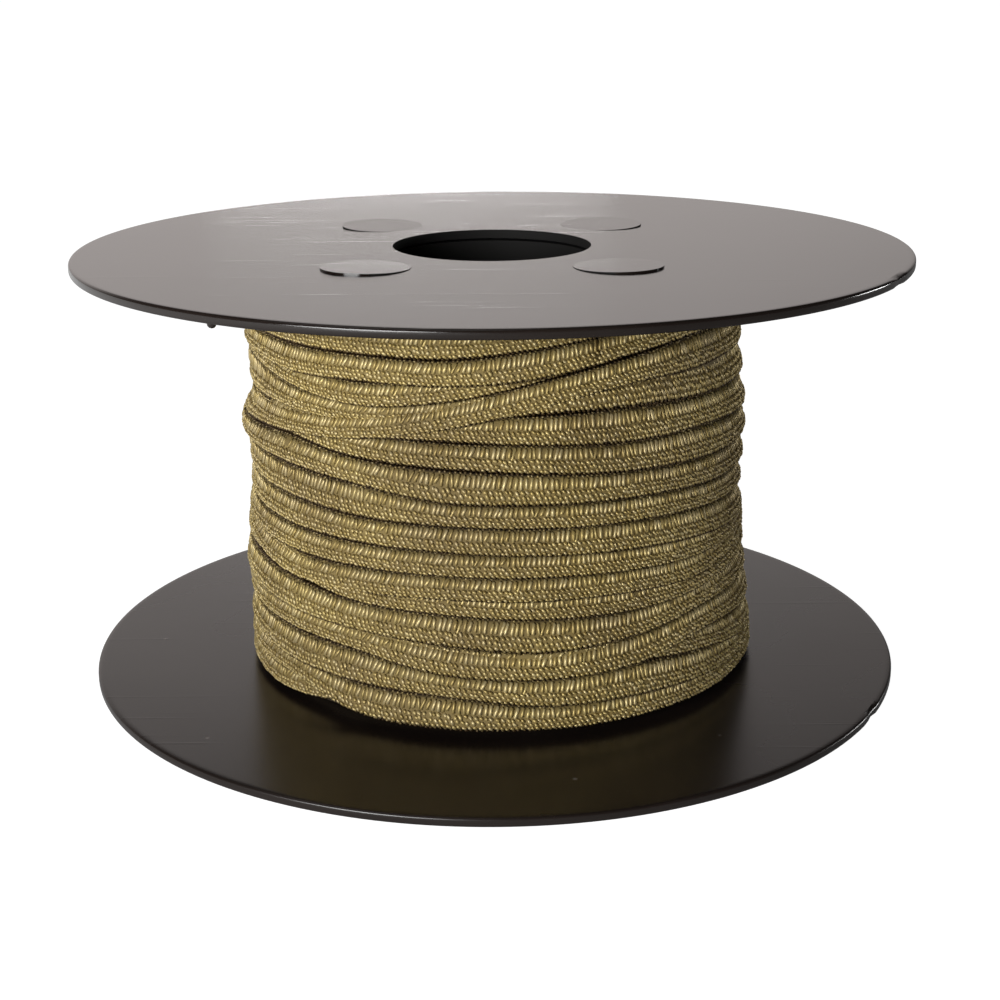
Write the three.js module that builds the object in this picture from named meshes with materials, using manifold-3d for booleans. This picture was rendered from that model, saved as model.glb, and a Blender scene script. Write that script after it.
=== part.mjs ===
// A reel of soutache braid: two round plastic flanges on a core tube, and the braid wound between them.
// Millimetres, +Z up. The origin is at the middle of the reel's underside, and -Y faces the front.

import * as THREE from 'three';
import { mergeVertices } from 'three/addons/utils/BufferGeometryUtils.js';
import Module from 'manifold-3d';

// Driving dimensions
const REEL_HEIGHT = 51.6;         // underside of the lower flange to the top of the upper one
const FLANGE_RADIUS = 50;
const FLANGE_THICKNESS = 1.1;
const RIM_CHAMFER = 0.25;
const BORE_RADIUS = 12;
const CORE_OUTER_RADIUS = 15.5;
const FIT_GAP = 0.3;              // between one piece and the next
const BRAID_WIDTH = 2.9;          // one turn, two ribs side by side
const GROOVE_DEPTH = 0.7;         // how far the gap between two turns dips below their crowns
const BURIED_SINK = 0.9;          // how far a turn lies lower where a neighbour crosses over it
const BURIED_WIDTH = 0.24;        // what is left of the width of a turn that is buried

// Moulded discs on the upper flange, tilted so that their outer side stands highest
const DISC_RADIUS = 5.15;
const DISC_BODY = 1.0;
const DISC_PROUD = 0.11;          // at the disc's middle
const DISC_TILT = THREE.MathUtils.degToRad(1.3);
const DISC_CENTRE = { x: 14.2, y: 15.8 };

// Facets
const FLANGE_SEGMENTS = 96;
const DISC_SEGMENTS = 40;
const CORE_SEGMENTS = 64;
const WINDING_SEGMENTS = 60;
const CROWN_SHARES = [0.3, 0.7];  // where the two crowns of a turn lie across its width

const WINDING_TOP = REEL_HEIGHT - FLANGE_THICKNESS - FIT_GAP;
const WINDING_BOTTOM = FLANGE_THICKNESS + FIT_GAP;
const WINDING_INNER_RADIUS = CORE_OUTER_RADIUS + FIT_GAP;

// Crown radius of the wound braid, from the top down: the winding is a little fuller towards the bottom.
const CROWN_PROFILE = [
  { z: 50, radius: 29.7 },
  { z: 40, radius: 29.9 },
  { z: 32, radius: 30.8 },
  { z: 24, radius: 30.4 },
  { z: 15, radius: 31.0 },
  { z: 7, radius: 31.6 },
  { z: 0, radius: 31.6 },
];
const BULGE = { height: 0.6, towards: THREE.MathUtils.degToRad(-15), topZ: 16 };

// A turn leans: its lower edge stands out over the turn below, most of all towards the front right.
const LEAN = { least: 0.16, most: 1.0, towards: THREE.MathUtils.degToRad(-25), pivotShare: 0.6 };

// Directions, in degrees about +Z, in which the height of each groove is given: the front is at -90.
const COLUMNS = [-160, -140, -120, -100, -80, -60, -40, -20, 90];

// The groove below each turn, from the top turn down: its height in each direction of COLUMNS.
const GROOVES = [
  { turn: 'under the upper flange', z: [47.2, 47.0, 46.9, 47.1, 47.6, 48.4, 48.8, 48.8, 47.2] },
  { turn: 'rising to the right', z: [44.0, 43.8, 43.9, 43.9, 45.0, 46.2, 46.8, 46.9, 44.4] },
  { turn: 'rising beside it', z: [41.0, 40.5, 40.9, 40.9, 41.7, 43.5, 44.6, 44.7, 41.4] },
  { turn: 'diving to the right', z: [40.6, 38.9, 38.1, 39.2, 41.4, 43.2, 44.3, 44.4, 39.6] },
  { turn: 'crossed over, left part', z: [35.8, 36.3, 37.2, 38.9, 41.1, 42.9, 44.0, 44.1, 38.4] },
  { turn: 'crossing over', z: [32.9, 33.5, 34.4, 36.2, 38.6, 40.3, 40.6, 40.9, 36.0] },
  { turn: 'crossed over, right part', z: [32.6, 33.2, 34.1, 35.9, 37.9, 37.8, 37.4, 37.2, 34.9] },
  { turn: 'coming out below it', z: [32.3, 32.9, 33.8, 35.0, 34.6, 34.0, 34.0, 33.4, 33.1] },
  { turn: 'coming out next', z: [32.0, 32.6, 32.5, 32.1, 31.4, 30.7, 30.2, 29.9, 31.2] },
  { turn: 'wide at the front', z: [30.0, 29.9, 29.4, 28.1, 27.8, 27.6, 27.0, 26.4, 28.3] },
  { turn: 'wide at the left', z: [26.1, 25.9, 25.6, 25.5, 25.2, 24.8, 24.2, 23.5, 24.9] },
  { turn: 'level', z: [22.8, 22.5, 22.6, 22.4, 22.0, 21.5, 20.8, 19.9, 21.8] },
  { turn: 'level', z: [19.8, 19.6, 19.8, 19.7, 19.5, 19.1, 18.6, 18.3, 19.3] },
  { turn: 'level', z: [17.7, 16.5, 16.8, 17.1, 16.9, 16.6, 16.2, 17.0, 17.2] },
  { turn: 'half buried', z: [17.4, 16.2, 15.7, 15.4, 14.8, 14.5, 14.6, 15.4, 15.6] },
  { turn: 'below it', z: [12.7, 12.5, 12.3, 11.8, 10.9, 11.5, 12.5, 12.4, 12.6] },
  { turn: 'spreading to the right', z: [9.9, 10.2, 9.9, 8.4, 7.9, 8.2, 9.6, 9.0, 9.8] },
  { turn: 'coming out at the right', z: [9.6, 9.9, 9.6, 8.1, 7.6, 7.9, 7.3, 5.6, 7.4] },
  { turn: 'next to last', z: [6.2, 6.1, 6.1, 5.9, 4.8, 4.5, 4.0, 3.6, 4.8] },
  { turn: 'last', z: [3.9, 4.1, 2.3, 2.0, 2.0, 2.0, 2.0, 2.0, 2.6] },
];

const COLOURS = { reel: 0x2a2523, braid: 0x93803f };

const manifold = await Module();
manifold.setup();

function toSolid(geometry) {
  const bare = geometry.clone();
  bare.deleteAttribute('normal');
  bare.deleteAttribute('uv');
  const merged = mergeVertices(bare, 1e-5);
  const vertProperties = new Float32Array(merged.attributes.position.array);
  const triVerts = new Uint32Array(merged.index.array);
  return new manifold.Manifold(new manifold.Mesh({ numProp: 3, vertProperties, triVerts }));
}

function toGeometry(solid) {
  const mesh = solid.getMesh();
  const geometry = new THREE.BufferGeometry();
  geometry.setAttribute('position', new THREE.BufferAttribute(mesh.vertProperties, 3));
  geometry.setIndex(new THREE.BufferAttribute(mesh.triVerts, 1));
  geometry.computeVertexNormals();
  return geometry;
}

// A solid of revolution about +Z from a closed profile of [radius, height] corners, in anticlockwise order.
function turned(profile, segments) {
  const points = [...profile, profile[0]].map(([radius, height]) => new THREE.Vector2(radius, height));
  return new THREE.LatheGeometry(points, segments).rotateX(Math.PI / 2);
}

function flangeProfile(low) {
  const high = low + FLANGE_THICKNESS;
  return [
    [BORE_RADIUS, low],
    [FLANGE_RADIUS - RIM_CHAMFER, low],
    [FLANGE_RADIUS, low + RIM_CHAMFER],
    [FLANGE_RADIUS, high - RIM_CHAMFER],
    [FLANGE_RADIUS - RIM_CHAMFER, high],
    [BORE_RADIUS, high],
  ];
}

function lowerFlange() {
  return turned(flangeProfile(0), FLANGE_SEGMENTS);
}

// A disc in the flange's face at one corner of the pattern, leaning outwards and up.
function raisedDisc(signX, signY) {
  const x = signX * DISC_CENTRE.x;
  const y = signY * DISC_CENTRE.y;
  const outward = Math.atan2(y, x);
  const disc = new THREE.CylinderGeometry(DISC_RADIUS, DISC_RADIUS, DISC_BODY, DISC_SEGMENTS);
  disc.rotateX(Math.PI / 2);
  disc.rotateY(-DISC_TILT);
  disc.rotateZ(outward);
  disc.translate(x, y, REEL_HEIGHT + DISC_PROUD - DISC_BODY / 2);
  return disc;
}

function upperFlange() {
  let solid = toSolid(turned(flangeProfile(REEL_HEIGHT - FLANGE_THICKNESS), FLANGE_SEGMENTS));
  for (const signX of [-1, 1]) {
    for (const signY of [-1, 1]) {
      solid = solid.add(toSolid(raisedDisc(signX, signY)));
    }
  }
  return toGeometry(solid);
}

function coreTube() {
  const profile = [
    [BORE_RADIUS, WINDING_BOTTOM],
    [CORE_OUTER_RADIUS, WINDING_BOTTOM],
    [CORE_OUTER_RADIUS, WINDING_TOP],
    [BORE_RADIUS, WINDING_TOP],
  ];
  return turned(profile, CORE_SEGMENTS);
}

// A smooth closed curve through one value in each direction of COLUMNS, read at the angle in degrees.
function aroundReel(values, degrees) {
  const count = COLUMNS.length;
  const column = (i) => COLUMNS[((i % count) + count) % count] + 360 * Math.floor(i / count);
  const value = (i) => values[((i % count) + count) % count];
  const slope = (i) => (value(i + 1) - value(i - 1)) / (column(i + 1) - column(i - 1));
  let angle = degrees;
  while (angle < COLUMNS[0]) angle += 360;
  while (angle >= COLUMNS[0] + 360) angle -= 360;
  let i = 0;
  while (angle >= column(i + 1)) i += 1;
  const span = column(i + 1) - column(i);
  const t = (angle - column(i)) / span;
  const start = (2 * t ** 3 - 3 * t ** 2 + 1) * value(i) + (t ** 3 - 2 * t ** 2 + t) * span * slope(i);
  const end = (3 * t ** 2 - 2 * t ** 3) * value(i + 1) + (t ** 3 - t ** 2) * span * slope(i + 1);
  return start + end;
}

function crownRadius(z, angle) {
  let i = 0;
  while (z < CROWN_PROFILE[i + 1].z) i += 1;
  const upper = CROWN_PROFILE[i];
  const lower = CROWN_PROFILE[i + 1];
  const radius = THREE.MathUtils.mapLinear(z, upper.z, lower.z, upper.radius, lower.radius);
  const lowShare = THREE.MathUtils.smoothstep(BULGE.topZ - z, 0, BULGE.topZ);
  const facing = Math.max(0, Math.cos(angle - BULGE.towards));
  return radius + BULGE.height * lowShare * facing;
}

// How far a place on a turn stands out by the turn's lean, by its share of the way down the turn.
function leanOut(share, angle) {
  const facing = 0.5 + 0.5 * Math.cos(angle - LEAN.towards);
  return (LEAN.least + (LEAN.most - LEAN.least) * facing) * (share - LEAN.pivotShare);
}

// Heights of every groove at one angle, from the winding's top to its bottom, kept in order.
function grooveHeights(degrees) {
  const heights = [WINDING_TOP];
  GROOVES.forEach((groove, i) => {
    const highest = heights[i] - BURIED_WIDTH;
    const lowest = WINDING_BOTTOM + BURIED_WIDTH * (GROOVES.length - i);
    heights.push(Math.max(lowest, Math.min(highest, aroundReel(groove.z, degrees))));
  });
  heights.push(WINDING_BOTTOM);
  return heights;
}

// The winding's outer side at one angle as { radius, z } from the top down: a groove, then a turn's crowns.
function windingSection(angle) {
  const heights = grooveHeights(THREE.MathUtils.radToDeg(angle));
  const section = [];
  for (let i = 0; i < heights.length - 1; i += 1) {
    const width = heights[i] - heights[i + 1];
    const sink = BURIED_SINK * (1 - THREE.MathUtils.smoothstep(width, 0, BRAID_WIDTH * 0.8));
    section.push({ radius: crownRadius(heights[i], angle) - GROOVE_DEPTH, z: heights[i] });
    for (const share of CROWN_SHARES) {
      const z = heights[i] - share * width;
      section.push({ radius: crownRadius(z, angle) + leanOut(share, angle) - sink, z });
    }
  }
  section.push({ radius: crownRadius(WINDING_BOTTOM, angle) - GROOVE_DEPTH, z: WINDING_BOTTOM });
  return section;
}

function braidWinding() {
  const profile = [
    [WINDING_INNER_RADIUS, WINDING_TOP],
    [WINDING_INNER_RADIUS, WINDING_BOTTOM],
    ...windingSection(0).reverse().map(({ radius, z }) => [radius, z]),
  ];
  const geometry = turned(profile, WINDING_SEGMENTS);
  const position = geometry.attributes.position;
  const perSegment = profile.length + 1;
  const topRow = perSegment - 2;
  for (let segment = 0; segment <= WINDING_SEGMENTS; segment += 1) {
    const angle = (segment % WINDING_SEGMENTS) * 2 * Math.PI / WINDING_SEGMENTS - Math.PI / 2;
    windingSection(angle).forEach(({ radius, z }, row) => {
      const i = segment * perSegment + topRow - row;
      position.setXYZ(i, radius * Math.cos(angle), radius * Math.sin(angle), z);
    });
  }
  return toGeometry(toSolid(geometry));
}

function piece(name, geometry, color, roughness) {
  const material = new THREE.MeshStandardMaterial({ color, roughness, metalness: 0 });
  const mesh = new THREE.Mesh(geometry, material);
  mesh.name = name;
  return mesh;
}

const reel = new THREE.Group();
reel.add(piece('reel_flange_lower', lowerFlange(), COLOURS.reel, 0.35));
reel.add(piece('reel_flange_upper', upperFlange(), COLOURS.reel, 0.35));
reel.add(piece('reel_core', coreTube(), COLOURS.reel, 0.4));
reel.add(piece('braid_winding', braidWinding(), COLOURS.braid, 0.6));

export default reel;
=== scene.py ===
import math

import bpy
import numpy as np
from mathutils import Matrix, Vector


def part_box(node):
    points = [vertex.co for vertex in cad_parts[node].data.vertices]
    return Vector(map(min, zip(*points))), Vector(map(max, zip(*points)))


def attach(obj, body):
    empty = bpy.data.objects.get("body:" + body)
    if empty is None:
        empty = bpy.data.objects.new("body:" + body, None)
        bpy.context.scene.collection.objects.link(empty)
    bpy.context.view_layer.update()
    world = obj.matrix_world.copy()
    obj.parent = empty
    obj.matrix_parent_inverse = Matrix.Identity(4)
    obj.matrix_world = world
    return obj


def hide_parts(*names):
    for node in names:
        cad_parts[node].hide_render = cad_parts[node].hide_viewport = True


# A reel of soutache braid: a dark moulded reel with two thin flanges, and a metallic braid of two ribs
# wound on it. Metres, +Z up. The reel stands on its lower flange and its front faces -Y.

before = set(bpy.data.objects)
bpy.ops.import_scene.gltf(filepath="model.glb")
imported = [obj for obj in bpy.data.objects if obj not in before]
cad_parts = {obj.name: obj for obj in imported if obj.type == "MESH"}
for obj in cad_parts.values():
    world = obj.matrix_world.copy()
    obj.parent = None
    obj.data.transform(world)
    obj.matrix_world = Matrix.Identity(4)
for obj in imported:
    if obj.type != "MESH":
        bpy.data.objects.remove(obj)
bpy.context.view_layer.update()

MM = 0.001
ROOT = "root"
SEED = 7                       # for the scatter of the stitches

# Sizes of the reel, read from the frame
LOWER_LOW, LOWER_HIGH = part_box("reel_flange_lower")
UPPER_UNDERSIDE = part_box("reel_flange_upper")[0].z
CORE_LOW, CORE_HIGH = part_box("reel_core")
BRAID_LOW, BRAID_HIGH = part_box("braid_winding")
FLANGE_RADIUS = LOWER_HIGH.x
FLANGE_THICKNESS = LOWER_HIGH.z
UPPER_FACE = UPPER_UNDERSIDE + FLANGE_THICKNESS
CORE_RADIUS = CORE_HIGH.x

# Sizes of the reel that its boxes don't give
BORE_RADIUS = 12 * MM
WINDING_INNER_RADIUS = CORE_RADIUS + 0.3 * MM
RIM_ROUND = 0.28 * MM
RIM_ROUND_SEGMENTS = 4
RIM_DROOP = 0.04 * MM          # the upper face falls this much just before its rim
FLAT_MARGIN = 0.6 * MM         # a ring this far in keeps the faces flat up to their rounded edges
SECOND_MARGIN = 0.3 * MM       # another ring, so much further in, keeps the droop's shade at the rim
MIDDLE_RING = 0.6              # a ring between bore and rim, as a share of the flange's radius
DISC_RADIUS = 5.15 * MM
DISC_CENTRE = (14.2 * MM, 15.8 * MM)
DISC_BODY = 1.0 * MM
DISC_PROUD = 0.11 * MM
DISC_TILT = math.radians(1.3)
NICK_DEPTH = 0.32 * MM
NICK_HALF_WIDTH = 1.7          # in degrees, as the places of the nicks and of the nub are
UPPER_NICK_AT = -28
LOWER_NICK_AT = -29.3
NUB_AT = -124
NUB_RADIUS = 0.55 * MM
NUB_SQUASH = (0.8, 1, 0.9)

# How finely the round pieces are divided
FLANGE_STEPS = 224
CORE_STEPS = 160
DISC_STEPS = 72
LAYER_STEPS = 120
MERGE_DISTANCE = 0.001 * MM

# The braid: two ribs side by side, with a soft groove between them
RIB_CENTRE = 0.55 * MM
RIB_HALF_WIDTH = 0.93 * MM
RIB_HEIGHT = 0.80 * MM
RIB_INNER_ANGLE = math.radians(-36)
RIB_OUTER_ANGLE = math.radians(84)
RIB_ARC = 1.86 * MM            # the way round a rib, from the groove to the rib's outer edge
RIB_FARTHEST = 1.08            # nothing goes further round a rib than this share of that way
BRAID_HALF_WIDTH = RIB_CENTRE + RIB_HALF_WIDTH * math.sin(RIB_OUTER_ANGLE)
GROUND_THICKNESS = 0.3 * MM
GROUND_STEP = 1.6 * MM
GROUND_STRIPS = 8              # faces of the ground across both ribs
GROUND_REACH = 1.04            # how much wider the ground is than the way round both ribs
STITCH_PITCH = 0.57 * MM
PITCHES_IN_REPEAT = 60

# The turns of the braid, in millimetres unless a line says otherwise
NATURAL_WIDTH = 2.8
WIDEST = 3.9
EDGE_GAP = 0.15                # left free on either side of a turn
MEAN_RADIUS = 31               # of the turns, for the length of a run
COVERED_DEPTH = 1.15 * MM      # in metres, how far a turn lies lower where another lies over it
COVERED_FADE = (0.1, 1.5)      # how far inside the upper turn's edges it starts and ends going down
MOST_COVERS = 2                # turns that push it down. More than these make no difference.
MOST_LAPS = 13                 # no run goes round the reel more often than this
CLEARLY_OVER = 0.01            # steps of the stack by which one turn has to lie over another
TUCKED_DEPTH = 1.3 * MM        # in metres, how far a run's end goes down below its neighbours
TUCKED_OVER = 38               # degrees before a run's end at which it starts going down
TUCKED_DONE = 9.5              # degrees before a run's end at which it is down

# A turn leans: its lower edge stands out and its upper edge goes in. "least" and "most" are millimetres over
# the turn's width, "towards" is the side in degrees on which it leans most, and "about" is the share of its
# width that stays where it was.
LEAN = {"least": 0.16, "most": 1.05, "towards": -25, "about": 0.4}

# Slow unevenness of a run, up and down in millimetres, and in and out in metres, in waves to the turn
WANDER_UP = {"amount": 0.07, "waves": (1.7, 4.3, 9.1)}
WANDER_OUT = {"amount": 0.08 * MM, "waves": (1.3, 5.7, 11.9)}
WANDER_SHIFT = 2.1             # radians between the starts of the waves

# Crown radius of the wound braid by height, both in millimetres, with a bulge low on the right
CROWN_HEIGHTS = (0, 7, 15, 24, 32, 40, 50)
CROWN_RADII = (31.6, 31.6, 31.0, 30.4, 30.8, 29.9, 29.7)
BULGE_HEIGHT = 0.6
BULGE_TOWARDS = -15
BULGE_TOP = 16

# How much narrower the winding is on its left, by height, both in millimetres
LEFT = 180
LEFT_HEIGHTS = (0, 10, 13, 17, 22, 28, 30, 31, 32.5, 34, 36, 38.5, 40.5, 50)
LEFT_LESS = (1.1, 1.1, 0.3, 0.3, 0.5, 0.7, 0.4, 0.0, 0.0, 1.2, 1.0, 0.5, 0.0, 0.0)

# Height in millimetres of each turn's lower edge, in these directions in degrees about +Z, from the top
# down. The turns join behind the reel.
COLUMNS = (-160, -140, -120, -100, -80, -60, -40, -20)
BEHIND = 90
LOWER_EDGES = {
    "under_flange": (47.2, 47.0, 46.9, 47.1, 47.3, 47.4, 47.4, 47.4),
    "rising_first": (44.0, 43.8, 43.9, 43.9, 45.0, 46.2, 46.8, 46.9),
    "rising_second": (41.0, 40.5, 40.9, 40.9, 41.7, 43.5, 44.6, 44.7),
    "diving": (40.6, 38.9, 38.1, 39.2, 41.1, 43.2, 44.3, 44.4),
    "crossed_over": (36.0, 36.2, 36.0, 36.8, 37.9, 37.8, 37.4, 37.2),
    "crossing_over": (32.9, 33.5, 34.4, 36.2, 38.6, 40.3, 40.6, 40.9),
    "out_below": (34.0, 34.4, 34.8, 35.0, 34.6, 34.0, 34.0, 33.4),
    "out_next": (33.4, 33.4, 32.5, 32.1, 31.4, 30.7, 30.2, 29.9),
    "wide_front": (30.0, 29.9, 29.4, 28.1, 27.8, 27.6, 27.0, 26.4),
    "wide_left": (26.1, 25.9, 25.6, 25.5, 25.2, 24.8, 24.2, 23.5),
    "level_first": (22.8, 22.5, 22.6, 22.4, 22.0, 21.5, 20.8, 19.9),
    "level_second": (19.8, 19.6, 19.8, 19.7, 19.5, 19.1, 18.6, 18.3),
    "level_third": (17.7, 16.5, 16.8, 17.1, 16.9, 16.6, 16.2, 17.0),
    "half_buried": (17.3, 16.9, 15.7, 15.4, 14.8, 14.5, 14.6, 15.4),
    "below_buried": (12.7, 12.5, 12.3, 11.8, 10.9, 11.5, 12.5, 12.4),
    "spreading": (9.9, 10.2, 9.9, 8.4, 7.9, 8.2, 9.6, 9.0),
    "out_right": (10.6, 10.8, 10.5, 9.2, 8.6, 8.5, 7.3, 5.6),
    "next_to_last": (6.2, 6.1, 6.1, 5.9, 4.8, 4.5, 4.0, 3.6),
    "last": (3.9, 4.1, 2.3, 2.0, 2.0, 2.0, 2.0, 2.0),
    "tucked": (1.75, 1.75, 2.8, 3.4, 3.4, 3.4, 3.4, 3.4),
}

# Which turn lies over which, from the uppermost in the stack to the lowest
OVER_TO_UNDER = [
    "rising_first", "under_flange", "rising_second", "crossing_over", "diving", "crossed_over",
    *list(LOWER_EDGES)[6:],
]

# What a few turns have of their own, in millimetres: the most that they may be wide, the height of the upper
# edge, and how far a turn is lifted over the others, in the same directions as above
WIDEST_OF = {"crossed_over": 4.6}
UPPER_EDGES = {"crossing_over": (36.0, 36.3, 37.2, 39.1, 41.5, 43.2, 44.4, 44.5)}
LIFTED = {"crossing_over": (0.1, 0.3, 0.2, 0, 0, 0, 0, 0)}

# The three stretches of the braid that show, each with its turns in order, the degrees at which it starts
# and those at which it ends on its last turn
RUNS = {
    "braid_down": {"turns": list(LOWER_EDGES)[7:], "start": -165, "last_angle": -112, "pieces": 4},
    "braid_up": {
        "turns": ["out_below", "crossing_over", "rising_second", "rising_first", "under_flange"],
        "start": -150,
        "last_angle": 15,
        "pieces": 2,
    },
    "braid_under": {"turns": ["crossed_over", "diving"], "start": -215, "last_angle": -62, "pieces": 1},
}
RUN_STEP = 2                   # degrees between the places where a run is worked out
SHARES = np.linspace(0, 1, 13)    # places across it, as shares of the turn's width
INSIDE_END = 1.001             # keeps a place that is read within the last of these steps


# Modelling by hand

def deselect_all():
    if bpy.context.mode != "OBJECT":
        bpy.ops.object.mode_set(mode="OBJECT")
    bpy.ops.object.select_all(action="DESELECT")


def make_active(piece):
    deselect_all()
    piece.select_set(True)
    bpy.context.view_layer.objects.active = piece


def named(name):
    """Names the object just added, and gives it back."""
    piece = bpy.context.active_object
    piece.name = name
    piece.data.name = name
    return piece


def join(pieces, name):
    make_active(pieces[0])
    for piece in pieces:
        piece.select_set(True)
    bpy.ops.object.join()
    return named(name)


def apply_modifiers(piece):
    make_active(piece)
    for modifier in list(piece.modifiers):
        bpy.ops.object.modifier_apply(modifier=modifier.name)


def place_in_mesh(piece):
    make_active(piece)
    bpy.ops.object.transform_apply(location=True, rotation=True, scale=True)


def smooth_by_angle(piece, degrees):
    make_active(piece)
    bpy.ops.object.shade_smooth_by_angle(angle=math.radians(degrees))


def turned(name, profile, steps):
    """A round closed body: a ring of edges is extruded along a profile of (radius, height) and closed."""
    deselect_all()
    radius, height = profile[0]
    bpy.ops.mesh.primitive_circle_add(vertices=steps, radius=radius, location=(0, 0, height))
    piece = named(name)
    place_in_mesh(piece)
    bpy.ops.object.mode_set(mode="EDIT")
    bpy.ops.mesh.select_mode(type="EDGE")
    bpy.ops.mesh.select_all(action="SELECT")
    for next_radius, next_height in [*profile[1:], profile[0]]:
        bpy.ops.mesh.extrude_edges_move(TRANSFORM_OT_translate={"value": (0, 0, next_height - height)})
        wider = next_radius / radius
        bpy.ops.transform.resize(value=(wider, wider, 1), center_override=(0, 0, next_height))
        radius, height = next_radius, next_height
    bpy.ops.mesh.select_all(action="SELECT")
    bpy.ops.mesh.remove_doubles(threshold=MERGE_DISTANCE)
    bpy.ops.mesh.normals_make_consistent(inside=False)
    bpy.ops.object.mode_set(mode="OBJECT")
    return piece


def round_edges(piece, radius, heights, by, segments):
    """Bevels the round edges of a turned piece that lie at one radius and at the given heights."""
    make_active(piece)
    bpy.ops.object.mode_set(mode="EDIT")
    bpy.ops.mesh.select_mode(type="EDGE")
    bpy.ops.mesh.select_all(action="DESELECT")
    bpy.ops.object.mode_set(mode="OBJECT")
    near = 0.02 * MM
    vertices = piece.data.vertices
    for edge in piece.data.edges:
        ends = [vertices[i].co for i in edge.vertices]
        on_radius = all(abs(math.hypot(end.x, end.y) - radius) < near for end in ends)
        level = abs(ends[0].z - ends[1].z) < near
        edge.select = on_radius and level and any(abs(ends[0].z - z) < near for z in heights)
    bpy.ops.object.mode_set(mode="EDIT")
    bpy.ops.mesh.bevel(offset=by, segments=segments, affect="EDGES")
    bpy.ops.object.mode_set(mode="OBJECT")


# The reel

def flange(name, underside, nicked_at):
    """A thin round plate with the bore through it, and a rounded rim with one nick in it."""
    upside = underside + FLANGE_THICKNESS
    near_rim = FLANGE_RADIUS - FLAT_MARGIN
    rings = (
        BORE_RADIUS,
        BORE_RADIUS + FLAT_MARGIN,
        FLANGE_RADIUS * MIDDLE_RING,
        near_rim - SECOND_MARGIN,
        near_rim,
        FLANGE_RADIUS,
    )
    rim = upside - RIM_DROOP
    profile = [(radius, underside) for radius in rings]
    profile += [(radius, rim if radius == FLANGE_RADIUS else upside) for radius in reversed(rings)]
    plate = turned(name, profile, FLANGE_STEPS)
    round_edges(plate, FLANGE_RADIUS, (underside, rim), RIM_ROUND, RIM_ROUND_SEGMENTS)
    for vertex in plate.data.vertices:
        place = vertex.co
        off = abs(math.degrees(math.atan2(place.y, place.x)) - nicked_at)
        if off < NICK_HALF_WIDTH and place.xy.length > FLANGE_RADIUS - FLAT_MARGIN / 2:
            depth = NICK_DEPTH * (1 - off / NICK_HALF_WIDTH)
            place.xy *= 1 - depth / FLANGE_RADIUS
            place.z -= depth * (place.z > underside + FLANGE_THICKNESS / 2)
    return plate


def moulding_nub():
    """A small lump of plastic left under the upper rim where the mould was filled."""
    deselect_all()
    bpy.ops.mesh.primitive_ico_sphere_add(subdivisions=2, radius=NUB_RADIUS)
    nub = named("nub")
    around = math.radians(NUB_AT)
    reach = FLANGE_RADIUS - NUB_RADIUS
    nub.scale = NUB_SQUASH
    nub.rotation_euler = (0, 0, around)
    nub.location = (reach * math.cos(around), reach * math.sin(around), UPPER_UNDERSIDE)
    place_in_mesh(nub)
    return nub


def moulded_disc(sign_x, sign_y):
    """A round raised spot in the upper face, whose outer side stands a little higher."""
    x = sign_x * DISC_CENTRE[0]
    y = sign_y * DISC_CENTRE[1]
    outward = math.atan2(y, x)
    deselect_all()
    bpy.ops.mesh.primitive_cylinder_add(vertices=DISC_STEPS, radius=DISC_RADIUS, depth=DISC_BODY)
    disc = named("disc")
    centre = Vector((x, y, UPPER_FACE + DISC_PROUD - DISC_BODY / 2))
    lean = Matrix.Rotation(outward, 4, "Z") @ Matrix.Rotation(-DISC_TILT, 4, "Y")
    disc.matrix_world = Matrix.Translation(centre) @ lean
    place_in_mesh(disc)
    return disc


def upper_flange():
    """The upper plate with its four discs and the nub."""
    discs = [moulded_disc(sign_x, sign_y) for sign_x in (-1, 1) for sign_y in (-1, 1)]
    plate = flange("flange_plate_upper", UPPER_UNDERSIDE, UPPER_NICK_AT)
    return join([plate, *discs, moulding_nub()], "flange_plate_upper")


def core_tube():
    """The plain tube between the flanges."""
    profile = [
        (BORE_RADIUS, CORE_LOW.z),
        (CORE_RADIUS, CORE_LOW.z),
        (CORE_RADIUS, CORE_HIGH.z),
        (BORE_RADIUS, CORE_HIGH.z),
    ]
    return turned("core_tube", profile, CORE_STEPS)


# The way the braid lies on the reel

def smooth_curve(knots, values, at):
    """A cubic curve through the values, whose slope at a knot comes from that knot's neighbours."""
    knots = np.asarray(knots, float)
    values = np.asarray(values, float)
    slopes = np.gradient(values, knots)
    i = np.clip(np.searchsorted(knots, at, side="right") - 1, 0, len(knots) - 2)
    span = knots[i + 1] - knots[i]
    t = np.clip((at - knots[i]) / span, 0, 1)
    start = (2 * t**3 - 3 * t**2 + 1) * values[i] + (t**3 - 2 * t**2 + t) * span * slopes[i]
    end = (3 * t**2 - 2 * t**3) * values[i + 1] + (t**3 - t**2) * span * slopes[i + 1]
    return start + end


def smooth_step(value, low, high):
    t = np.clip((value - low) / (high - low), 0, 1)
    return t * t * (3 - 2 * t)


def crown_radius(height, degrees):
    """Radius in metres of the winding's crowns at a height in millimetres."""
    radius = np.interp(height, CROWN_HEIGHTS, CROWN_RADII)
    low_share = smooth_step(BULGE_TOP - height, 0, BULGE_TOP)
    facing = np.maximum(0, np.cos(np.radians(degrees - BULGE_TOWARDS)))
    left = np.maximum(0, np.cos(np.radians(degrees - LEFT))) ** 2
    less = left * np.interp(height, LEFT_HEIGHTS, LEFT_LESS)
    return (radius + BULGE_HEIGHT * low_share * facing - less) * MM


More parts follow.
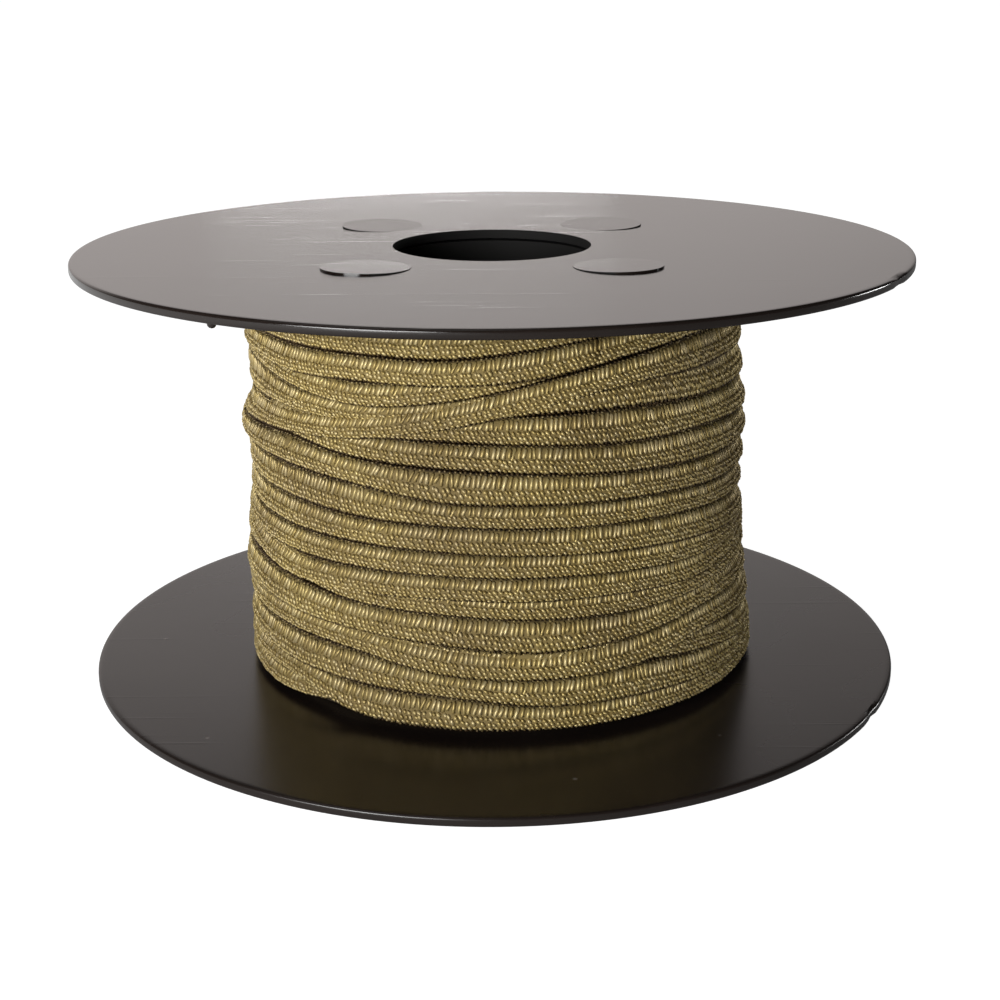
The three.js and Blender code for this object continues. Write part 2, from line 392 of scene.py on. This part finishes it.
def upper_edges():
    """Each turn reaches up to the turns above it, or under them where they leave it too little room."""
    top = BRAID_HIGH.z / MM
    lowest_above = np.full(len(COLUMNS), top)
    edges = {}
    for turn, lower in LOWER_EDGES.items():
        lower = np.array(lower)
        widest = WIDEST_OF.get(turn, WIDEST)
        width = np.clip(lowest_above - lower, NATURAL_WIDTH, widest)
        edges[turn] = np.minimum(lower + width, top)
        lowest_above = np.minimum(lowest_above, lower)
    for turn, upper in UPPER_EDGES.items():
        edges[turn] = np.array(upper)
    return edges


def lay_run(turns, start, last_angle, pieces):
    """Where one run of the braid lies: its edges in millimetres and its place in the stack, by angle."""
    edges = upper_edges()
    knots, low, high, rank, lift = [], [], [], [], []
    for lap, turn in enumerate(turns):
        knots += [360 * lap + column for column in COLUMNS]
        low += list(LOWER_EDGES[turn])
        high += list(edges[turn])
        rank += [OVER_TO_UNDER.index(turn)] * len(COLUMNS)
        lift += list(LIFTED.get(turn, [0] * len(COLUMNS)))
        if turn != turns[-1]:
            following = turns[lap + 1]
            knots.append(360 * lap + BEHIND)
            low.append((LOWER_EDGES[turn][-1] + LOWER_EDGES[following][0]) / 2)
            high.append((edges[turn][-1] + edges[following][0]) / 2)
            rank.append((OVER_TO_UNDER.index(turn) + OVER_TO_UNDER.index(following)) / 2)
            lift.append(LIFTED.get(following, [0])[0] / 2)
    end = 360 * (len(turns) - 1) + last_angle
    angles = np.arange(start, end + RUN_STEP, RUN_STEP)
    return {
        "angles": angles,
        "low": smooth_curve(knots, low, angles),
        "high": smooth_curve(knots, high, angles),
        "rank": np.interp(angles, knots, rank),
        "lift": np.interp(angles, knots, lift) * MM,
        "pieces": pieces,
    }


def covered_by(run, other):
    """How deep the run lies under the other one, by angle along the run and by share of its width."""
    depth = np.zeros((len(run["angles"]), len(SHARES)))
    width = (run["high"] - run["low"])[:, None]
    height = run["low"][:, None] + SHARES[None, :] * width
    first, last = other["angles"][0], other["angles"][-1]
    for lap in range(-MOST_LAPS, MOST_LAPS + 1):
        if lap == 0 and other is run:
            continue
        there = run["angles"] + 360 * lap
        present = (there >= first) & (there <= last)
        low = np.interp(there, other["angles"], other["low"])[:, None]
        high = np.interp(there, other["angles"], other["high"])[:, None]
        rank = np.interp(there, other["angles"], other["rank"])
        over = present & (rank < run["rank"] - CLEARLY_OVER)
        inside = np.minimum(height - low, high - height)
        depth += over[:, None] * smooth_step(inside, *COVERED_FADE)
    return depth


def settle(runs):
    """Works out how deep every run lies under the others."""
    for run in runs.values():
        depth = sum(covered_by(run, other) for other in runs.values())
        end = run["angles"][-1]
        tucked = smooth_step(run["angles"], end - TUCKED_OVER, end - TUCKED_DONE) * TUCKED_DEPTH
        covered = np.minimum(depth, MOST_COVERS) * COVERED_DEPTH
        run["depth"] = covered + tucked[:, None] - run["lift"][:, None]


def read_map(run, values, degrees, share):
    """Reads a map by angle and share between its entries."""
    row = np.clip((degrees - run["angles"][0]) / RUN_STEP, 0, len(run["angles"]) - INSIDE_END)
    column = np.clip(share * (len(SHARES) - 1), 0, len(SHARES) - INSIDE_END)
    i = row.astype(int)
    j = column.astype(int)
    down = row - i
    right = column - j
    upper = values[i, j] * (1 - right) + values[i, j + 1] * right
    lower = values[i + 1, j] * (1 - right) + values[i + 1, j + 1] * right
    return upper * (1 - down) + lower * down


def lean_out(degrees, share):
    """A turn leans: its lower edge stands out, and its upper edge goes in under the turn above it."""
    facing = 0.5 + 0.5 * np.cos(np.radians(degrees - LEAN["towards"]))
    amount = LEAN["least"] + (LEAN["most"] - LEAN["least"]) * facing
    return amount * MM * (LEAN["about"] - share)


def wander(degrees, amount, waves, phase):
    """A slow unevenness along a run."""
    total = np.zeros_like(degrees)
    for i, wave in enumerate(waves):
        total += np.sin(np.radians(degrees * wave) + phase + WANDER_SHIFT * i) / len(waves)
    return amount * total


def wind(piece, run, start, end, length):
    """Bends a flat strip over the braid's two ribs and lays it round the reel along a run.

    On the flat strip, x is the length, y the way across both ribs and z the height over them.
    """
    mesh = piece.data
    flat = np.empty(len(mesh.vertices) * 3)
    mesh.vertices.foreach_get("co", flat)
    x, y, z = flat.reshape(-1, 3).T
    degrees = start + x / length * (end - start)
    rib_side = np.where(y >= 0, 1, -1)
    around = np.minimum(np.abs(y) / RIB_ARC, RIB_FARTHEST)
    angle = RIB_INNER_ANGLE + around * (RIB_OUTER_ANGLE - RIB_INNER_ANGLE)
    outward_across = RIB_HEIGHT * np.sin(angle)
    outward_up = RIB_HALF_WIDTH * np.cos(angle)
    outward = np.hypot(outward_across, outward_up)
    across = RIB_CENTRE + RIB_HALF_WIDTH * np.sin(angle) + z * outward_across / outward
    above_crown = RIB_HEIGHT * np.cos(angle) + z * outward_up / outward - RIB_HEIGHT
    share = 0.5 + rib_side * across / (2 * BRAID_HALF_WIDTH)
    low = np.interp(degrees, run["angles"], run["low"])
    high = np.interp(degrees, run["angles"], run["high"])
    width = high - low - 2 * EDGE_GAP
    height = low + EDGE_GAP + share * width + wander(degrees, phase=start, **WANDER_UP)
    depth = read_map(run, run["depth"], degrees, share)
    uneven = wander(degrees, phase=start + 1, **WANDER_OUT)
    radius = crown_radius(height, degrees) + above_crown - depth + uneven + lean_out(degrees, share)
    turn = np.radians(degrees)
    wound = np.stack([radius * np.cos(turn), radius * np.sin(turn), height * MM], axis=1)
    keep_flat_places(mesh, x, y)
    mesh.vertices.foreach_set("co", wound.ravel())
    mesh.update()


def keep_flat_places(mesh, x, y):
    """Keeps the flat strip as the UV map, in millimetres, so that the yarn's finish follows the braid."""
    layer = mesh.uv_layers.get("along_the_braid") or mesh.uv_layers.new(name="along_the_braid")
    corner = np.empty(len(mesh.loops), dtype=np.int32)
    mesh.loops.foreach_get("vertex_index", corner)
    layer.data.foreach_set("uv", np.stack([x[corner], y[corner]], axis=1).ravel() / MM)


# The braid's stitches, laid on a flat strip

# Rows of stitches: which rib, how far round it from the groove as a share of the way, length and width in
# millimetres, lean in degrees, and by what share of a pitch the row starts later
STITCH_ROWS = (
    {"rib": 1, "at": 0.37, "length": 1.34, "width": 0.46, "lean": -10, "stagger": 0.0},
    {"rib": 1, "at": 0.88, "length": 0.70, "width": 0.44, "lean": -14, "stagger": 0.5},
    {"rib": -1, "at": 0.10, "length": 0.56, "width": 0.40, "lean": 48, "stagger": 0.2},
    {"rib": -1, "at": 0.36, "length": 0.58, "width": 0.40, "lean": 50, "stagger": 0.6},
    {"rib": -1, "at": 0.62, "length": 0.58, "width": 0.40, "lean": 48, "stagger": 0.0},
    {"rib": -1, "at": 0.87, "length": 0.50, "width": 0.38, "lean": 44, "stagger": 0.4},
)
STITCH_THICKNESS = 0.30 * MM
STITCH_PROUD = 0.06 * MM       # how far the middle of a stitch lies over the rib
STITCH_ENDS = 0.45             # a stitch of unit length is drawn out as far as this from its middle
STITCH_DRAWN_OUT = 1.45        # and by this much, which leaves its ends blunt

# How far the stitches lie out of line: shares of a pitch, of their width and of their length, metres across
# and in height, and degrees of lean
SCATTER = {
    "along": 0.10,
    "across": 0.05 * MM,
    "height": 0.025 * MM,
    "lean": 12,
    "width": 0.10,
    "length": 0.12,
}


def one_stitch():
    """A stitch of unit length along y: a short bar of yarn with blunt ends."""
    deselect_all()
    bpy.ops.mesh.primitive_ico_sphere_add(subdivisions=1, radius=0.5)
    stitch = named("stitch")
    bpy.ops.object.mode_set(mode="EDIT")
    bpy.ops.mesh.select_all(action="SELECT")
    bpy.ops.transform.rotate(value=math.radians(90), orient_axis="X", center_override=(0, 0, 0))
    bpy.ops.mesh.select_all(action="DESELECT")
    bpy.ops.object.mode_set(mode="OBJECT")
    for vertex in stitch.data.vertices:
        vertex.select = abs(vertex.co.y) < STITCH_ENDS
    bpy.ops.object.mode_set(mode="EDIT")
    bpy.ops.transform.resize(value=(1, STITCH_DRAWN_OUT, 1), center_override=(0, 0, 0))
    bpy.ops.object.mode_set(mode="OBJECT")
    return stitch


def set_tone(piece, tone):
    """Gives a piece its own shade of the yarn."""
    attribute = piece.data.attributes.new("yarn_tone", "FLOAT", "POINT")
    attribute.data.foreach_set("value", np.full(len(piece.data.vertices), tone))


def stitch_repeat():
    """A stretch of stitches in all their rows, each one a little out of line."""
    rng = np.random.default_rng(SEED)
    pattern = one_stitch()
    stitches = []
    for row in STITCH_ROWS:
        for i in range(PITCHES_IN_REPEAT):
            x = (i + row["stagger"] + SCATTER["along"] * rng.normal()) * STITCH_PITCH
            y = row["rib"] * row["at"] * RIB_ARC + SCATTER["across"] * rng.normal()
            z = STITCH_PROUD + SCATTER["height"] * rng.normal()
            lean = math.radians(row["lean"] + SCATTER["lean"] * rng.normal())
            size = Vector((
                row["width"] * MM * (1 + SCATTER["width"] * rng.normal()),
                row["length"] * MM * (1 + SCATTER["length"] * rng.normal()),
                STITCH_THICKNESS,
            ))
            stitch = pattern.copy()
            stitch.data = pattern.data.copy()
            bpy.context.collection.objects.link(stitch)
            placed = Matrix.Translation((x, y, z)) @ Matrix.Rotation(lean, 4, "Z")
            stitch.data.transform(placed @ Matrix.Diagonal((*size, 1)))
            set_tone(stitch, rng.uniform(0, 1))
            stitches.append(stitch)
    bpy.data.objects.remove(pattern)
    return join(stitches, "stitch_repeat")


def stitches_along(repeat, length):
    """Copies the stretch of stitches until it fills a length; gives the length that it really has."""
    strip = repeat.copy()
    strip.data = repeat.data.copy()
    bpy.context.collection.objects.link(strip)
    step = PITCHES_IN_REPEAT * STITCH_PITCH
    rows = strip.modifiers.new("repeat along the braid", "ARRAY")
    rows.count = max(1, round(length / step))
    rows.use_relative_offset = False
    rows.use_constant_offset = True
    rows.constant_offset_displace = (step, 0, 0)
    laid = rows.count * step
    apply_modifiers(strip)
    return strip, laid


def ground_along(length):
    """The ground under the stitches: a thin strip as wide as both ribs are round."""
    deselect_all()
    along = round(length / GROUND_STEP)
    bpy.ops.mesh.primitive_grid_add(x_subdivisions=along, y_subdivisions=GROUND_STRIPS, size=1)
    strip = named("ground")
    reach = 2 * RIB_ARC * GROUND_REACH
    strip.data.transform(Matrix.Diagonal((length, reach, 1, 1)))
    strip.data.transform(Matrix.Translation((length / 2, 0, 0)))
    thick = strip.modifiers.new("thickness", "SOLIDIFY")
    thick.thickness = GROUND_THICKNESS
    thick.offset = -1
    apply_modifiers(strip)
    set_tone(strip, 0)
    return strip


def wind_run(name, run, repeat, yarn, ground_yarn):
    """Winds one run of the braid, in pieces that follow each other without a gap."""
    edges = np.linspace(run["angles"][0], run["angles"][-1], run["pieces"] + 1)
    made = []
    for number, (start, end) in enumerate(zip(edges[:-1], edges[1:]), start=1):
        length = math.radians(end - start) * MEAN_RADIUS * MM
        stitches, laid = stitches_along(repeat, length)
        wind(stitches, run, start, end, laid)
        finish_with(stitches, yarn)
        ground = ground_along(length)
        wind(ground, run, start, end, length)
        finish_with(ground, ground_yarn)
        piece = join([stitches, ground], f"{name}_{number}")
        smooth_by_angle(piece, BRAID_SMOOTH)
        made.append(piece)
    return made


LAYER_RINGS = 34
LAYER_DEPTHS = (1.75 * MM, 2.05 * MM)    # under the crowns, at its ridges and between them


def inner_layers():
    """The layers below the last one: a wound body with shallow ridges, which build() paints near black as the
    shade at the bottoms of the gaps between the turns.
    """
    low = BRAID_LOW.z
    high = BRAID_HIGH.z
    profile = [(WINDING_INNER_RADIUS, high), (WINDING_INNER_RADIUS, low)]
    for i in range(LAYER_RINGS + 1):
        height = low + (high - low) * i / LAYER_RINGS
        radius = crown_radius(height / MM, LEFT) - LAYER_DEPTHS[i % 2]
        profile.append((float(radius), height))
    return turned("braid_inner_layers", profile, LAYER_STEPS)


# Finishes

REEL_SMOOTH = 32               # degrees. Edges of the reel that are flatter than this look smooth.
BRAID_SMOOTH = 180             # degrees. All of the braid's edges do.
UPRIGHT = 0.5                  # a face whose normal rises or falls less than this counts as a wall
DUST = (0.16, 0.145, 0.135)
SCRATCH_DIRECTIONS = (12, 68, 131)
SCRATCH_STRETCH = (25, 900, 25)


def new_material(name):
    material = bpy.data.materials.new(name)
    material.use_nodes = True
    tree = material.node_tree
    tree.nodes.clear()
    output = tree.nodes.new("ShaderNodeOutputMaterial")
    shader = tree.nodes.new("ShaderNodeBsdfPrincipled")
    tree.links.new(shader.outputs["BSDF"], output.inputs["Surface"])
    return material, tree, shader


def add(tree, kind, **settings):
    """Adds a node. A setting that names an input sets that socket, and any other sets the node itself."""
    node = tree.nodes.new(kind)
    for key, value in settings.items():
        if key in node.inputs:
            node.inputs[key].default_value = value
        else:
            setattr(node, key, value)
    return node


def ramp(tree, value, stops):
    """A colour ramp from (place, colour) stops."""
    node = tree.nodes.new("ShaderNodeValToRGB")
    points = node.color_ramp.elements
    while len(points) < len(stops):
        points.new(0.5)
    for point, (place, colour) in zip(points, stops):
        point.position = place
        point.color = (*colour, 1)
    tree.links.new(value, node.inputs["Fac"])
    return node.outputs["Color"]


def blend_colours(tree, share, first, second, kind="MIX"):
    node = tree.nodes.new("ShaderNodeMix")
    node.data_type = "RGBA"
    node.blend_type = kind
    for socket, value in ((node.inputs[0], share), (node.inputs[6], first), (node.inputs[7], second)):
        if hasattr(value, "links"):
            tree.links.new(value, socket)
        elif isinstance(value, tuple):
            socket.default_value = (*value, 1)
        else:
            socket.default_value = value
    return node.outputs[2]


def finish_with(piece, *materials):
    piece.data.materials.clear()
    for material in materials:
        piece.data.materials.append(material)


def second_finish_inside(piece, radius):
    """The upright walls within a radius take the piece's second finish."""
    for face in piece.data.polygons:
        if abs(face.normal.z) < UPRIGHT and face.center.xy.length < radius:
            face.material_index = 1


def reel_plastic(name, least_rough, most_rough, dark, light, shine=0.5):
    """Dark brown-black moulded plastic, satin, with fine scratches and a few pale specks."""
    material, tree, shader = new_material(name)
    link = tree.links.new
    place = add(tree, "ShaderNodeTexCoord").outputs["Object"]

    cloud = add(tree, "ShaderNodeTexNoise", Scale=60, Detail=3)
    link(place, cloud.inputs["Vector"])
    plastic = ramp(tree, cloud.outputs["Fac"], [(0.3, dark), (0.7, light)])
    speck = add(tree, "ShaderNodeTexVoronoi", Scale=170, Randomness=1)
    link(place, speck.inputs["Vector"])
    near_speck = ramp(tree, speck.outputs["Distance"], [(0.025, (1, 1, 1)), (0.06, (0, 0, 0))])
    few = ramp(tree, speck.outputs["Color"], [(0.58, (0, 0, 0)), (0.68, (1, 1, 1))])
    dust = blend_colours(tree, 1.0, near_speck, few, "MULTIPLY")
    dusty = blend_colours(tree, dust, plastic, DUST)
    link(dusty, shader.inputs["Base Color"])

    rough = add(tree, "ShaderNodeTexNoise", Scale=35, Detail=4)
    link(place, rough.inputs["Vector"])
    gloss = add(tree, "ShaderNodeMapRange")
    gloss.inputs["To Min"].default_value = least_rough
    gloss.inputs["To Max"].default_value = most_rough
    link(rough.outputs["Fac"], gloss.inputs["Value"])
    link(gloss.outputs["Result"], shader.inputs["Roughness"])

    scratch_height = scratches(tree, place)
    bump = add(tree, "ShaderNodeBump", Strength=0.12, Distance=0.05 * MM)
    link(scratch_height, bump.inputs["Height"])
    link(bump.outputs["Normal"], shader.inputs["Normal"])
    shader.inputs["IOR"].default_value = 1.5
    shader.inputs["Specular IOR Level"].default_value = shine
    return material


def scratches(tree, place):
    """Long thin lines in a few directions over a fine moulding texture, as one height."""
    link = tree.links.new
    total = None
    for degrees in SCRATCH_DIRECTIONS:
        stretched = add(tree, "ShaderNodeMapping")
        stretched.inputs["Rotation"].default_value = (0, 0, math.radians(degrees))
        stretched.inputs["Scale"].default_value = SCRATCH_STRETCH
        link(place, stretched.inputs["Vector"])
        lines = add(tree, "ShaderNodeTexNoise", Scale=1, Detail=2)
        link(stretched.outputs["Vector"], lines.inputs["Vector"])
        thin = ramp(tree, lines.outputs["Fac"], [(0.66, (0, 0, 0)), (0.74, (1, 1, 1))])
        total = thin if total is None else blend_colours(tree, 1.0, total, thin, "ADD")
    grain = add(tree, "ShaderNodeTexNoise", Scale=900, Detail=2)
    link(place, grain.inputs["Vector"])
    return blend_colours(tree, 0.25, total, grain.outputs["Fac"], "ADD")


# Painted shade: the braid's colour is painted darker towards both edges, where the grooves between its turns
# are. The darkening lies between two places off its middle, given as shares of a span in millimetres, until
# the colour is multiplied by this painted shade
EDGE_SPAN = 2
PAINTED_SHADE_FROM_TO = (0.60, 0.73)
PAINTED_GROOVE_SHADE = (0.10, 0.07, 0.05)

# The noise that makes filaments across the braid, in its flat millimetres
FILAMENT_STRETCH = (9, 2.2, 1)
FILAMENT_LEAN = math.radians(20)


def yarn_finish(name, dark, mid, light, metal, rough):
    """Metallic yarn: each stitch has its own shade of colour, fine filaments run across the braid, and the
    shade of the grooves is painted darker along both edges.
    """
    material, tree, shader = new_material(name)
    link = tree.links.new
    tone = add(tree, "ShaderNodeAttribute", attribute_name="yarn_tone")
    flat = add(tree, "ShaderNodeUVMap", uv_map="along_the_braid").outputs["UV"]
    place = add(tree, "ShaderNodeTexCoord").outputs["Object"]

    shade = ramp(tree, tone.outputs["Fac"], [(0.0, dark), (0.5, mid), (1.0, light)])
    patches = add(tree, "ShaderNodeTexNoise", Scale=90, Detail=3)
    link(place, patches.inputs["Vector"])
    worn = ramp(tree, patches.outputs["Fac"], [(0.35, (0.78, 0.76, 0.80)), (0.65, (1, 1, 1))])
    worn_shade = blend_colours(tree, 1.0, shade, worn, "MULTIPLY")
    across = add(tree, "ShaderNodeSeparateXYZ")
    link(flat, across.inputs["Vector"])
    off_middle = add(tree, "ShaderNodeMath", operation="ABSOLUTE")
    link(across.outputs["Y"], off_middle.inputs[0])
    share = add(tree, "ShaderNodeMath", operation="MULTIPLY")
    share.inputs[1].default_value = 1 / EDGE_SPAN
    link(off_middle.outputs["Value"], share.inputs[0])
    # painted shade: both edges of the braid are painted darker, as the shade in the grooves between the turns
    painted_shade_stops = [(PAINTED_SHADE_FROM_TO[0], (1, 1, 1)), (PAINTED_SHADE_FROM_TO[1], PAINTED_GROOVE_SHADE)]
    edge = ramp(tree, share.outputs["Value"], painted_shade_stops)
    link(blend_colours(tree, 1.0, worn_shade, edge, "MULTIPLY"), shader.inputs["Base Color"])

    filaments = add(tree, "ShaderNodeMapping")
    filaments.inputs["Scale"].default_value = FILAMENT_STRETCH
    filaments.inputs["Rotation"].default_value = (0, 0, FILAMENT_LEAN)
    link(flat, filaments.inputs["Vector"])
    threads = add(tree, "ShaderNodeTexNoise", Scale=1, Detail=2)
    link(filaments.outputs["Vector"], threads.inputs["Vector"])
    bump = add(tree, "ShaderNodeBump", Strength=0.5, Distance=0.04 * MM)
    link(threads.outputs["Fac"], bump.inputs["Height"])
    link(bump.outputs["Normal"], shader.inputs["Normal"])

    shader.inputs["Metallic"].default_value = metal
    shader.inputs["Roughness"].default_value = rough
    return material


# How strongly the floor shines: to the eye, and as light on the reel from its left and its right
FLOOR_SEEN = 1.0
FLOOR_LEFT = 0.75
FLOOR_RIGHT = 0.08
FLOOR_FADE = (-0.22, 0.04)     # metres along X between which the left turns into the right
FLOOR_SIZE = 14


def pale_floor():
    """A white table that shines a little itself, as for a picture without shadows."""
    material, tree, shader = new_material("pale floor")
    place = add(tree, "ShaderNodeTexCoord").outputs["Object"]
    paper = add(tree, "ShaderNodeTexNoise", Scale=3, Detail=2)
    tree.links.new(place, paper.inputs["Vector"])
    tint = ramp(tree, paper.outputs["Fac"], [(0.3, (0.38, 0.38, 0.38)), (0.7, (0.40, 0.40, 0.40))])
    tree.links.new(tint, shader.inputs["Base Color"])
    shader.inputs["Roughness"].default_value = 0.9
    shader.inputs["Specular IOR Level"].default_value = 0.1
    shader.inputs["Emission Color"].default_value = (1, 1, 1, 1)
    side = add(tree, "ShaderNodeSeparateXYZ")
    tree.links.new(place, side.inputs["Vector"])
    given = add(tree, "ShaderNodeMapRange")
    given.inputs["From Min"].default_value, given.inputs["From Max"].default_value = FLOOR_FADE
    given.inputs["To Min"].default_value = FLOOR_LEFT
    given.inputs["To Max"].default_value = FLOOR_RIGHT
    tree.links.new(side.outputs["X"], given.inputs["Value"])
    glow = add(tree, "ShaderNodeMix")
    tree.links.new(add(tree, "ShaderNodeLightPath").outputs["Is Camera Ray"], glow.inputs[0])
    tree.links.new(given.outputs["Result"], glow.inputs[2])
    glow.inputs[3].default_value = FLOOR_SEEN
    tree.links.new(glow.outputs[0], shader.inputs["Emission Strength"])
    return material


# The room

def floor():
    deselect_all()
    bpy.ops.mesh.primitive_plane_add(size=FLOOR_SIZE, location=(0, 0, 0))
    ground = named("studio_floor")
    finish_with(ground, pale_floor())


REEL_MIDDLE = (0, 0, 0.026)
LIGHTS = {
    "light_front_left": {"place": (-0.455, -0.725, 0.17), "width": 0.60, "height": 0.30, "watts": 7.0},
    "light_above": {"place": (-0.20, 0.0, 0.85), "width": 0.6, "height": 0.6, "watts": 0.5},
    "light_behind": {"place": (-0.07, 1.30, 0.142), "width": 0.36, "height": 0.03, "watts": 0.16},
    "light_far_right": {"place": (0.90, 0.38, 0.07), "width": 0.30, "height": 0.10, "watts": 1.6},
}


def soft_light(name, place, width, height, watts):
    """A soft oval light that shines on the middle of the reel."""
    deselect_all()
    bpy.ops.object.light_add(type="AREA", location=place)
    light = named(name)
    light.data.shape = "ELLIPSE"
    light.data.size = width
    light.data.size_y = height
    light.data.energy = watts
    toward = Vector(REEL_MIDDLE) - Vector(place)
    light.rotation_euler = toward.to_track_quat("-Z", "Y").to_euler()


# Light from the room, by the sine of its height over the horizon. It comes from the back, a little from
# the left, and the rest of the room gives a small share of it.
ROOM_LIGHT = ((0.0, 0.64), (0.13, 0.74), (0.2, 0.88), (0.36, 1.06), (0.5, 0.30), (1.0, 0.06))
ROOM_TINT = (1.0, 0.92, 0.89)
ROOM_BACK = (-0.26, 0.966, 0.0)
ROOM_BACK_WIDTH = (0.53, 1.0)  # cosines of the angle from the back at which the light ends and is full
REST_SHARE = 0.03


def white_room():
    """White to the eye. The light that it gives comes from low down at the back, and is weak elsewhere."""
    world = bpy.data.worlds.new("white studio")
    bpy.context.scene.world = world
    world.use_nodes = True
    tree = world.node_tree
    tree.nodes.clear()
    link = tree.links.new
    output = add(tree, "ShaderNodeOutputWorld")
    direction = add(tree, "ShaderNodeTexCoord").outputs["Generated"]
    split = add(tree, "ShaderNodeSeparateXYZ")
    link(direction, split.inputs["Vector"])
    level = ramp(tree, split.outputs["Z"], [(sine, (value,) * 3) for sine, value in ROOM_LIGHT])
    towards_back = add(tree, "ShaderNodeVectorMath", operation="DOT_PRODUCT")
    towards_back.inputs[1].default_value = ROOM_BACK
    link(direction, towards_back.inputs[0])
    behind = add(tree, "ShaderNodeMapRange", interpolation_type="SMOOTHSTEP")
    behind.inputs["From Min"].default_value = ROOM_BACK_WIDTH[0]
    behind.inputs["From Max"].default_value = ROOM_BACK_WIDTH[1]
    behind.inputs["To Min"].default_value = REST_SHARE
    link(towards_back.outputs["Value"], behind.inputs["Value"])
    tint = blend_colours(tree, 1.0, level, ROOM_TINT, "MULTIPLY")
    given = add(tree, "ShaderNodeBackground")
    link(tint, given.inputs["Color"])
    link(behind.outputs["Result"], given.inputs["Strength"])
    seen = add(tree, "ShaderNodeBackground", Color=(1, 1, 1, 1))
    mix = add(tree, "ShaderNodeMixShader")
    link(add(tree, "ShaderNodeLightPath").outputs["Is Camera Ray"], mix.inputs["Fac"])
    link(given.outputs["Background"], mix.inputs[1])
    link(seen.outputs["Background"], mix.inputs[2])
    link(mix.outputs["Shader"], output.inputs["Surface"])


def studio():
    white_room()
    for name, facts in LIGHTS.items():
        soft_light(name, **facts)
    bpy.context.scene.view_settings.view_transform = "Standard"
    bpy.context.scene.view_settings.look = "None"


# The camera stands in front of the reel and looks down on it. Its lens and sensor are in millimetres.
CAMERA_BACK = 208.4 * MM
CAMERA_HEIGHT = 84.8 * MM
CAMERA_PITCH = math.radians(90 - 16.15)
CAMERA_ROLL = math.radians(-0.40)
CAMERA_LENS = 62.3
CAMERA_SENSOR = 36
CAMERA_NEAREST = 0.01
CAMERA_SHIFT = (0.0066, -0.04)


def camera():
    deselect_all()
    bpy.ops.object.camera_add()
    eye = bpy.context.active_object
    eye.name = "photo_camera"
    turn = Matrix.Rotation(CAMERA_PITCH, 4, "X") @ Matrix.Rotation(CAMERA_ROLL, 4, "Z")
    eye.matrix_world = Matrix.Translation((0, -CAMERA_BACK, CAMERA_HEIGHT)) @ turn
    eye.data.lens = CAMERA_LENS
    eye.data.sensor_width = CAMERA_SENSOR
    eye.data.shift_x, eye.data.shift_y = CAMERA_SHIFT
    eye.data.clip_start = CAMERA_NEAREST
    bpy.context.scene.camera = eye


def belongs(piece, slot, *nodes):
    """The piece rides on the reel and stands for the CAD nodes, which it hides. Its slot is not used."""
    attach(piece, ROOT)
    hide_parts(*nodes)


def build():
    camera()
    studio()
    floor()

    plain = (0.015, 0.0105, 0.0085)
    paler = (0.021, 0.015, 0.0125)
    plastic = reel_plastic("dark moulded plastic", least_rough=0.12, most_rough=0.17, dark=plain, light=paler)
    worn_plastic = reel_plastic(
        "plastic of the lower flange, duller", least_rough=0.24, most_rough=0.30, dark=plain, light=paler
    )
    deep_plastic = reel_plastic(
        "dull plastic of the core",
        least_rough=0.7,
        most_rough=0.8,
        dark=(0.013, 0.0125, 0.012),
        light=(0.015, 0.0145, 0.014),
        shine=0.15,
    )
    lower = flange("flange_plate_lower", LOWER_LOW.z, LOWER_NICK_AT)
    upper = upper_flange()
    tube = core_tube()
    reel = (
        (lower, "reel_flange_lower", worn_plastic),
        (upper, "reel_flange_upper", plastic),
        (tube, "reel_core", deep_plastic),
    )
    for piece, node, finish in reel:
        finish_with(piece, finish, deep_plastic)
        second_finish_inside(piece, FLANGE_RADIUS / 2)
        smooth_by_angle(piece, REEL_SMOOTH)
        belongs(piece, "reel_plastic", node)

    yarn = yarn_finish(
        "old gold yarn",
        dark=(0.46, 0.345, 0.12),
        mid=(0.60, 0.475, 0.195),
        light=(0.70, 0.575, 0.29),
        metal=0.55,
        rough=0.47,
    )
    ground_yarn = yarn_finish(
        "yarn ground",
        dark=(0.25, 0.182, 0.06),
        mid=(0.26, 0.19, 0.064),
        light=(0.27, 0.2, 0.069),
        metal=0.0,
        rough=0.8,
    )
    # painted shade: the yarn of the layers below is painted near black, as the shade at the bottoms of the
    # gaps between the turns
    layers_yarn_painted_shade = yarn_finish(
        "yarn of the layers below, painted near black as shade",
        dark=(0.04, 0.028, 0.01),
        mid=(0.045, 0.03, 0.011),
        light=(0.05, 0.035, 0.012),
        metal=0.0,
        rough=0.9,
    )
    runs = {name: lay_run(**facts) for name, facts in RUNS.items()}
    settle(runs)
    repeat = stitch_repeat()
    for name, run in runs.items():
        for piece in wind_run(name, run, repeat, yarn, ground_yarn):
            belongs(piece, "braid_yarn", "braid_winding")
    bpy.data.objects.remove(repeat)
    layers = inner_layers()
    set_tone(layers, 0)
    finish_with(layers, layers_yarn_painted_shade)
    smooth_by_angle(layers, BRAID_SMOOTH)
    belongs(layers, "braid_yarn", "braid_winding")


build()
